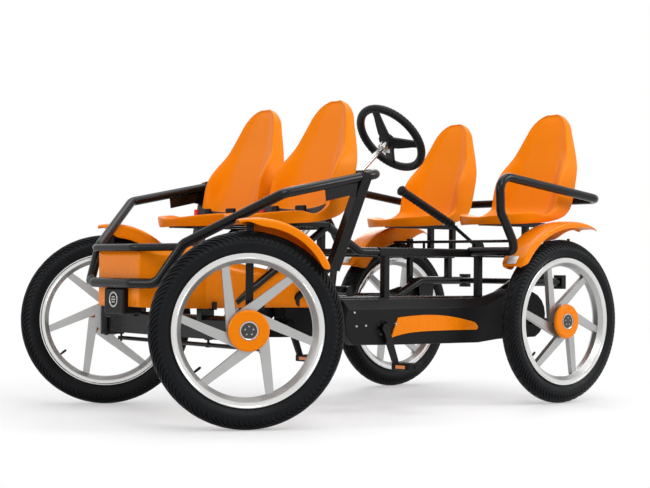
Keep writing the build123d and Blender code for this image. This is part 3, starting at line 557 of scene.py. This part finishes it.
def make_wheel_details(wheel):
    """Plain disc with a bright ring and studs in the hub cap, rim lips and valve."""
    face = wheel.cap_recess()
    disc = Shape()
    disc.lathe(face, wheel.outward, [(0, 1.4), (24, 0.9), (25, -1), (0, -1)], 48)
    disc.finish("emblem_" + wheel.corner, wheel.body, "black_plastic", look="emblem")

    ring = Shape()
    ring.ring(face, wheel.outward, [(24.6, -1), (24.6, 1.5), (26, 2.2), (28.6, 1.6), (29.4, -1)],
              48)
    studs, stud_circle = 5, 13
    for k in range(studs):
        turn = radians(90 + 360 / studs * k)
        place = (face + wheel.forward * (stud_circle * cos(turn))
                 + Vector((0, 0, stud_circle * sin(turn))))
        ring.lathe(place, wheel.outward, [(0, 0), (2.2, 0), (2.2, 2.2), (1.6, 2.6), (0, 2.6)], 12)
    ring.finish("emblem_ring_" + wheel.corner, wheel.body, "bright_steel")

    for side, name in ((1, "outer"), (-1, "inner")):
        lip = Shape()
        lip.ring(wheel.centre, wheel.outward * side,
                 [(234.2, 20), (234.4, 26), (232.6, 28.4), (229.6, 28.8), (227.4, 27),
                  (226.4, 26.2), (219.2, 26.2), (218.2, 26.9), (216.2, 26.9), (215.2, 25.6),
                  (215.2, 20)], 128)
        lip.finish(f"rim_lip_{name}_" + wheel.corner, wheel.body, "cast_alloy", look="polished")

    valve = Shape()
    foot = wheel.point(radians(-38), 204, 4)
    valve.lathe(foot, -(foot - wheel.centre),
                [(0, -4), (3.6, -4), (3.6, 8), (4.3, 8), (4.3, 22), (3.4, 23), (3.4, 26), (0, 26)],
                14)
    valve.finish("valve_" + wheel.corner, wheel.body, "black_plastic")


# --- mudguards ------------------------------------------------------------------------------------
def fender_rows(place, crown, outer_skirt, inner_skirt, start, sweep, tips, front_fall,
                rear_fall=0):
    """Rows of points over a mudguard, from its front tip backwards.

    place turns an angle, a radius and a distance across into a point.  The mudguard starts at an
    angle and sweeps on, both in degrees.  From its highest place its crown radius falls towards
    both ends.  At each tip it narrows and its skirts shorten, over a share of its length.
    """
    half_width = 56
    least_width = 0.72  # share of the width that is left at a tip
    widening = 1.6  # how much faster the width grows from a tip than the skirts
    least_skirt = 7
    highest = 0.35  # share of the length at which the crown is highest
    steps = 30
    rows = []
    for i in range(steps + 1):
        share = i / steps
        angle = radians(start + sweep * share)
        if share < highest:
            top = crown - front_fall * ((highest - share) / highest) ** 2
        else:
            top = crown - rear_fall * ((share - highest) / (1 - highest)) ** 2
        near = min(share / tips[0], (1 - share) / tips[1], 1)
        skirt = smoothstep(0, 1, near)
        corner = sqrt(max(0.0, 1 - (1 - min(1, near * widening)) ** 2))
        width = half_width * (least_width + (1 - least_width) * corner)
        inner = least_skirt + (inner_skirt - least_skirt) * skirt
        outer = least_skirt + (outer_skirt - least_skirt) * skirt
        section = [(-width, top - inner), (-width, top - 5 - (inner - 5) * 0.5),
                   (-width, top - 11), (-width + 1.5, top - 6), (-width + 8, top - 3)]
        section += [(y * width, top - 3 * y * y) for y in (-0.6, -0.3, 0, 0.3, 0.6)]
        section += [(width - 8, top - 3), (width - 1.5, top - 6), (width, top - 11),
                    (width, top - 5 - (outer - 5) * 0.6), (width, top - outer)]
        rows.append([place(angle, radius, across) for across, radius in section])
    return rows


def make_front_fender(wheel):
    side = SIDE_NAMES[wheel.side]
    fender = Shape()
    fender.grid(fender_rows(wheel.point, crown=344, outer_skirt=29, inner_skirt=52, start=84,
                            sweep=59, tips=(0.24, 0.05), front_fall=7, rear_fall=30))
    fender.finish("mudguard_" + wheel.corner, "knuckle_" + side, "orange_paint",
                  ["front_fender_" + side], thickness=3.5, subdivide=1)


def make_rear_fender(side):
    """Rear mudguard, which stands a little behind and above its wheel, with its reflector."""
    middle = rear(-25, side * rear_y, axle_z + 9)

    def place(angle, radius, across):
        return middle + Vector((cos(angle) * radius, side * across, sin(angle) * radius))

    fender = Shape()
    fender.grid(fender_rows(place, crown=359, outer_skirt=26, inner_skirt=70, start=33, sweep=79,
                            tips=(0.06, 0.3), front_fall=8))
    name = SIDE_NAMES[side]
    fender.finish("mudguard_rear_" + name, "chassis", "orange_paint", ["rear_fenders"],
                  thickness=3.5, subdivide=1)

    strip = Shape()
    strip_radius, strip_half = 353.8, 22
    strip.grid([[place(radians(a), strip_radius, y) for y in (-strip_half, 0, strip_half)]
                for a in (34.5, 36, 38, 40)])
    strip.finish("reflector_rear_" + name, "chassis", "orange_paint", thickness=1.2,
                 look="reflector")


# --- seats ----------------------------------------------------------------------------------------
# Curves of a seat's left half, from its front lip to the top of its back: the rim of the dish, the
# skirt's lower edge at the rim's points, and the middle line of the dish.
SEAT_RIM = [
    (0, 40, 30), (-20, 102, 36), (-65, 148, 42), (-130, 165, 46), (-170, 165, 37),
    (-203, 164, 43), (-235, 163, 60), (-248, 161, 76), (-254, 161, 112), (-264, 157, 165),
    (-286, 153, 203), (-310, 146, 232), (-340, 130, 271), (-358, 112, 315), (-371, 98, 350),
    (-383, 85, 382), (-394, 65, 408), (-403, 43, 424), (-408, 22, 431)]
SEAT_EDGE = [
    (0, 40, 0), (-20, 103, 0), (-65, 149, 1), (-130, 166, 6), (-180, 166, 9), (-235, 166, 18),
    (-290, 165, 34), (-330, 163, 64), (-348, 162, 110), (-364, 160, 165), (-374, 157, 202),
    (-382, 151, 233), (-393, 135, 273), (-402, 117, 318), (-409, 102, 353), (-416, 89, 386),
    (-420, 69, 410), (-423, 46, 427), (-425, 23, 434)]
SEAT_SPINE = [
    (0, 0, 28), (-40, 0, 24), (-90, 0, 22), (-140, 0, 22), (-190, 0, 22), (-235, 0, 30),
    (-268, 0, 58), (-283, 0, 88), (-295, 0, 120), (-313, 0, 168), (-325, 0, 200), (-337, 0, 232),
    (-352, 0, 270), (-368, 0, 315), (-379, 0, 350), (-389, 0, 380), (-397, 0, 404), (-404, 0, 420),
    (-408, 0, 430)]


def make_seat(name, origin):
    """Bucket seat shell: an open dish in a rounded rim, with a skirt that runs down and back."""
    rims, edges, spines = (smooth_path([Vector(p) for p in curve], 2)
                           for curve in (SEAT_RIM, SEAT_EDGE, SEAT_SPINE))
    rows = []
    for rim, spine in zip(rims, spines):
        half = []
        for share in (0, 0.035, 0.1, 0.2, 0.32, 0.44, 0.6, 0.8):
            point = rim.lerp(spine, smoothstep(0, 0.42, share))
            point.y = rim.y * (1 - share)
            half.append(point)
        rows.append(half + [spine] + [mirrored(p) for p in reversed(half)])
    shell = Shape()
    dish = shell.grid(rows)

    # The dish's outer vertices all round, each with its point on the skirt's lower edge.
    top, lip = dish[-1][1:-1], dish[0][1:-1]
    around = [(row[0], e) for row, e in zip(dish, edges)]
    around += [(v, Vector((edges[-1].x, v.co.y, edges[-1].z))) for v in top]
    around += [(row[-1], mirrored(e)) for row, e in reversed(list(zip(dish, edges)))]
    around += [(v, Vector((edges[0].x, v.co.y, 0))) for v in reversed(lip)]
    middle = Vector((-230, 0, 120))
    rings = [[v for v, _ in around], [], [], [], []]
    for i, (vertex, low) in enumerate(around):
        at = vertex.co
        ahead = around[(i + 1) % len(around)][0].co - around[i - 1][0].co
        down = (low - at).normalized()
        out = ahead.cross(down).normalized()
        if out.dot(at - middle) < 0:
            out = -out
        rim_top = at + out * 3.6 - down * 2.2
        rim_side = at + out * 7 + down * 3
        skirt = at.lerp(low, 0.5) + out * 4
        for ring, point in zip(rings[1:], (rim_top, rim_side, skirt, low)):
            ring.append(shell.mesh.verts.new(point))
    for a, b in zip(rings, rings[1:]):
        shell.join(a, b, len(a))
    for vertex in shell.mesh.verts:
        vertex.co = vertex.co + origin
    shell.finish("shell_" + name, "chassis", "orange_plastic", [name], thickness=4.5, subdivide=2)


def make_belt(side, origin):
    """Lap belt across the back of a front seat, with its buckles and their red button."""
    def spot(x, y, z):
        return origin + Vector((x, y, z))

    path = smooth_path([spot(-268, 148, 66), spot(-246, 138, 60), spot(-238, 96, 50),
                        spot(-246, 30, 46), spot(-246, -30, 46), spot(-238, -96, 52),
                        spot(-222, -150, 66), spot(-236, -178, 74), spot(-268, -187, 66),
                        spot(-302, -174, 48)], 5)
    half_width = Vector((-0.35, 0, 0.94)) * 15
    name = SIDE_NAMES[side]
    strap = Shape()
    strap.grid([[p - half_width, p, p + half_width] for p in path])
    strap.finish("lap_belt_" + name, "chassis", "webbing", ["lap_belts"], thickness=2, subdivide=1)
    for y, size in ((-104, (14, 28, 38)), (34, (13, 50, 34))):
        buckle = Shape()
        buckle.block(spot(-232, y, 54), size)
        buckle.finish(f"buckle_{name}_{abs(y)}", "chassis", "black_plastic", bevel=4)
    button = Shape()
    button.block(spot(-217, -158, 60), (12, 15, 22))
    button.finish("buckle_button_" + name, "chassis", "black_plastic", bevel=2, look="red_plastic")


# --- frame tubes and guards -----------------------------------------------------------------------
TUBE, THIN_TUBE, STAY = 16, 12, 6  # radii of the main tubes, the bars and the stays
LOW_Z, RAISED_Z, UPPER_Z = 376, 441, 547  # lower rails, their raised rear part, upper rails
NOSE_Y, RAIL_Y = 200, 258  # lower rails at the front axle and further back
GUARD_Y, HOOP_Y = 444, 478  # front guard and rear armrest hoop


def make_lower_frame():
    """Lower rails with their end blocks, cross bars and uprights."""
    rails = Shape()
    rails.tube([front(20, NOSE_Y, LOW_Z), front(-250, NOSE_Y, LOW_Z), front(-400, RAIL_Y, LOW_Z),
                rear(166, RAIL_Y, LOW_Z), rear(35, RAIL_Y, RAISED_Z),
                rear(-214, RAIL_Y, RAISED_Z)], TUBE, 50)
    rails.block(rear(-226, RAIL_Y, RAISED_Z), (26, 42, 54))
    rails.mirror()
    rails.finish("lower_rail_tubes", "chassis", "black_frame", ["lower_rails"], bevel=2)

    bars = Shape()
    bar_reach = RAIL_Y - 2
    for place, x, z, reach, radius in ((front, 0, LOW_Z, NOSE_Y, THIN_TUBE),
                                       (front, -342.3, LOW_Z, bar_reach, TUBE),
                                       (front, -835, LOW_Z, bar_reach, THIN_TUBE),
                                       (rear, 320, LOW_Z, bar_reach, THIN_TUBE),
                                       (rear, -200, RAISED_Z, bar_reach, THIN_TUBE),
                                       (front, -455, 630, bar_reach, THIN_TUBE),
                                       (front, -640, UPPER_Z, bar_reach, THIN_TUBE),
                                       (front, -1444, UPPER_Z, bar_reach, THIN_TUBE)):
        bars.tube([place(x, -reach, z), place(x, reach, z)], radius)
    bars.block(front(75, 0, LOW_Z), (150, 25, 25))
    bars.finish("cross_bars", "chassis", "black_frame", ["cross_tubes"])

    posts = Shape()
    for place, x, foot in ((front, -716, LOW_Z), (rear, 229, LOW_Z), (rear, -126, RAISED_Z)):
        posts.block(place(x, RAIL_Y, (foot + UPPER_Z) / 2), (25, 25, UPPER_Z - foot))
    posts.mirror()
    posts.finish("frame_uprights", "chassis", "black_frame", ["frame_posts"], bevel=3)


def make_seat_rails():
    """Carriers that the seats stand on, the rear ones on legs."""
    carriers = Shape()
    for y in (109, 254):
        for s in SIDES:
            carriers.block(front(-311, s * y, 634), (288, 30, 18))
    for s in SIDES:
        carriers.block(rear(25, s * RAIL_Y, 659), (380, 30, 18))
        for x in (-26, -150):
            carriers.block(rear(x, s * RAIL_Y, 606), (22, 22, 90))
    carriers.finish("seat_rails", "chassis", "black_frame", ["seat_carriers"], bevel=2)


def make_hoops():
    """Armrest hoop round the rear seats, and the guard round the front seats with its bar."""
    hoop = Shape()
    hoop.tube([rear(-194, 0, 754), rear(-194, HOOP_Y, 754), rear(350, HOOP_Y, 821),
               rear(344, HOOP_Y, 690), rear(314, HOOP_Y, 645), rear(278, HOOP_Y, 585),
               rear(278, HOOP_Y, 553), rear(278, 262, 553)], TUBE, 46, capped="end")
    hoop.mirror()
    hoop.finish("armrest_hoop", "chassis", "black_frame", ["rear_hoop"])

    guard = Shape()
    guard.tube([front(-525, 0, 803), front(-525, GUARD_Y, 803), front(-122, GUARD_Y, 721),
                front(122, 251, 560), front(186, 200, 437), front(222, 110, 437),
                front(222, 0, 437)], TUBE, 42, capped=False)
    guard.mirror()
    guard.finish("guard_hoop", "chassis", "black_frame", ["front_guard"])

    bar = Shape()
    bar.tube([front(122, 251, 552), front(216, 118, 549), front(216, 0, 549)], THIN_TUBE, 60,
             capped="start")
    bar.mirror()
    bar.finish("guard_upper_bar", "chassis", "black_frame", ["guard_crossbar"])

    gusset = Shape()
    for s in SIDES:
        outline = [front(x, s * GUARD_Y, z)
                   for x, z in ((-440, 720), (-393, 725), (-292, 703), (-287, 745), (-440, 776))]
        gusset.slab(outline, Vector((0, s * 6, 0)))
    gusset.finish("guard_gussets", "chassis", "black_frame", bevel=1)


def make_mudguard_stays():
    """Posts, thin rods and a rod across that hold the rear mudguards."""
    stays = Shape()
    for s in SIDES:
        stays.block(rear(42, s * 309, 518), (20, 20, 184))
        for z in (UPPER_Z, RAISED_Z):
            stays.block(rear(42, s * 286, z), (20, 40, 20))
        stays.tube([rear(-117, s * 260, UPPER_Z), rear(-117, s * 393, UPPER_Z),
                    rear(-117, s * 393, 606)], STAY, 14, 12)
    stays.tube([rear(42, -400, 596), rear(42, 400, 596)], STAY, 0, 12)
    stays.finish("mudguard_stays", "chassis", "black_frame", ["rear_fender_stays"], bevel=1)


def make_fairing():
    """Faired band round the front of the frame, flared at the back, and the bumper block."""
    front_face = 200
    corner_y = 124
    shoulder_x, shoulder_y = 13, 220
    flare_x, flare = -250, 0.4
    levels = 5
    sides = ((200, 362, 556), (150, 358, 556), (100, 358, 556), (60, 358, 556), (13, 358, 545),
             (-98, 358, 505), (-250, 358, 480), (-306, 358, 470), (-378, 358, 433),
             (-417, 358, 381))
    rows = [[front(front_face, y, z) for z in (362, 411, 459, 508, 556)] for y in (0, 60, 112)]
    for x, low, high in sides:
        if x > shoulder_x:
            y = corner_y + (front_face - x) * (shoulder_y - corner_y) / (front_face - shoulder_x)
        else:
            y = shoulder_y + max(0, flare_x - x) * flare
        rows.append([front(x, y, low + (high - low) * k / (levels - 1)) for k in range(levels)])
    hull = Shape()
    hull.grid(rows)
    hull.mirror()
    hull.finish("fairing", "chassis", "orange_paint", ["front_fairing"], bevel=5, thickness=4,
                sharp=25)

    clips = Shape()
    for s in SIDES:
        for x in (-20, -210):
            clips.block(front(x, s * 222, 366), (16, 8, 26))
    clips.finish("fairing_clips", "chassis", "black_plastic", bevel=2)

    nose = Shape()
    nose.block(front(182, 0, 379), (72, 120, 84))
    nose.finish("bumper_block", "chassis", "black_plastic", ["nose_block"], bevel=8)
    badge = Shape()
    badge.ring(front(217.5, 0, 384), (1, 0, 0),
               [(20, -2), (20, 1.4), (22, 2.2), (25, 1.6), (26, -2)], 40)
    for z, width in ((384, 26), (376, 18), (392, 18)):
        badge.block(front(218, 0, z), (2.4, width, 4))
    badge.finish("bumper_badge", "chassis", "bright_steel", bevel=0.6)


CASE_Y = 318  # outer face of the chain cases


def case_outline(y, drop):
    """Outline of a chain case in an upright plane at y, its upper edge lowered by a drop."""
    upper = 384 - drop
    raised = 415 - drop * 0.4
    top = [front(-500, y, upper), rear(249, y, upper), rear(130, y, raised), rear(-10, y, raised)]
    bottom = [rear(-20, y, 236), rear(181, y, 233), rear(286, y, 223), front(-681, y, 227),
              front(-525, y, 231)]
    return (top + arc(top[-1], rear(-75, y, 330), bottom[0]) + bottom
            + arc(bottom[-1], front(-488, y, 285), top[0]))


def make_chain_cases():
    """Closed chain cases with bevelled upper edges, bored for the cranks and the rear axle."""
    cases = Shape()
    for s in SIDES:
        cases.loft([case_outline(s * 274.5, 0), case_outline(s * 284, 0),
                    case_outline(s * CASE_Y, 32)])
    piece = cases.finish("chain_cases", "chassis", "black_plastic", ["chain_guards"])
    crank = Vector(joints["crank_left"]["pos_m"]) / MM
    bore_y, bore_reach = 296, 40
    bores = Shape()
    for x, z, radius in ((crank.x, crank.z, 24), (rear_x, axle_z, 18)):
        for s in SIDES:
            bores.lathe((x, s * bore_y, z), (0, 1, 0),
                        [(radius, -bore_reach), (radius, bore_reach)], 48)
    cut_away(piece, bores)
    add_bevel(piece, 3)


# --- steering wheel and small parts ---------------------------------------------------------------
def make_steering_wheel():
    """Wheel with a ribbed grip and three spokes dished down to its hub, and the column's clamp."""
    down = Vector(joints["steering_turn"]["axis"]).normalized()
    top = front(-974, 0, 976)
    right = Vector((0, 1, 0))
    up = (-down).cross(right)
    ring, grip_radius = 137, 15.5
    sides, section = 360, 20
    groove_every, groove_steps, groove_depth = 6, 2, 0.9
    rows = []
    for i in range(sides):
        angle = 2 * pi * i / sides
        out = right * cos(angle) + up * sin(angle)
        row = []
        for k in range(section):
            turn = 2 * pi * k / section
            grooved = i % groove_every < groove_steps and cos(turn) > -0.2
            radius = grip_radius - (groove_depth if grooved else 0)
            row.append(top + out * (ring + radius * cos(turn)) - down * (radius * sin(turn)))
        rows.append(row)
    grip = Shape()
    grip.grid(rows, around=True, along=True)
    grip.finish("steering_grip", "steering", "black_plastic", ["steering_wheel"], sharp=60)

    spokes = Shape()
    for degrees in (17, 123, 273):
        along = right * cos(radians(degrees)) + up * sin(radians(degrees))
        across = along.cross(down).normalized()
        thick = down * 6
        rows = []
        for reach, depth, half in ((0, 20, 24), (40, 19, 24), (70, 13, 20), (105, 5, 15),
                                   (ring, 0, 13)):
            middle = top + along * reach + down * depth
            rows.append([middle - across * half - thick, middle + across * half - thick,
                         middle + across * half + thick, middle - across * half + thick])
        spokes.loft(rows)
    spokes.lathe(top, -down, [(0, -30), (34, -30), (38, -24), (38, -14), (34, -10), (0, -9)], 40)
    spokes.finish("steering_spokes", "steering", "black_plastic", bevel=4)

    clamp = Shape()
    clamp.lathe(top, down, [(15, 29), (17, 31), (17, 62), (15, 64)], 32)
    clamp.block(top + down * 47 + up * 20, (22, 16, 22))
    clamp.finish("steering_clamp", "steering", "bright_steel", bevel=0.7)


def make_brake_grip():
    """Ribbed grip on the hand brake's lever."""
    throat, end = front(-1301, 0, 659), front(-1028, 0, 783)
    length = (end - throat).length
    ribs = 14
    profile = [(0, -1), (11, -1), (13, 2)]
    for i in range(ribs):
        at = 14 + i * (length - 36) / (ribs - 1)
        profile += [(16, at - 4), (16.6, at), (16, at + 4), (15.2, at + 6)]
    profile += [(19, length - 8), (19.5, length), (15, length + 5), (0, length + 6)]
    grip = Shape()
    grip.lathe(throat, (end - throat).normalized(), profile, 28)
    grip.finish("brake_grip", "chassis", "black_plastic")


def make_small_parts():
    """Bolt heads on the chain cases, and reflectors on both edges of the pedals."""
    bolts = Shape()
    for x, z in ((-524, 340), (-533, 294), (-575, 295), (-713, 298)):
        for s in SIDES:
            bolts.lathe(front(x, s * CASE_Y, z), (0, s, 0),
                        [(0, -1), (5, -1), (5, 2), (3.5, 4.5), (0, 5)], 14)
    bolts.finish("case_bolts", "chassis", "bright_steel")
    for name in ("left_outer", "left_inner", "right_outer", "right_inner"):
        low, high = (Vector(corner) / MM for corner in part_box("pedal_" + name))
        middle = (low + high) / 2
        reflector = Shape()
        for s in SIDES:
            reflector.block(middle + Vector((s * (high.x - low.x) / 2, 0, 0)), (3, 46, 12))
        reflector.finish("pedal_reflector_" + name, "pedal_" + name, "orange_paint", bevel=1,
                         look="amber")


# --- the whole kart -------------------------------------------------------------------------------
make_camera()
make_studio()
materials = make_materials()
for entry in frame["record"]["subparts"]:
    node = frame["nodes"][entry["node"]]
    node.data.materials.clear()
    node.data.materials.append(materials[entry["material_slot"]])

wheels = [Wheel(corner) for corner in ("front_left", "front_right", "rear_left", "rear_right")]
for wheel in wheels:
    make_tyre(wheel)
    make_wheel_details(wheel)
for wheel in wheels[:2]:
    make_front_fender(wheel)
for side in SIDES:
    make_rear_fender(side)
for side in SIDES:
    front_seat = front(-127, side * 199, 627)
    make_seat("seat_front_" + SIDE_NAMES[side], front_seat)
    make_seat("seat_rear_" + SIDE_NAMES[side], front(-1171, side * 263, 652))
    make_belt(side, front_seat)
make_lower_frame()
make_seat_rails()
make_hoops()
make_mudguard_stays()
make_fairing()
make_chain_cases()
make_steering_wheel()
make_brake_grip()
make_small_parts()

bpy.context.view_layer.update()
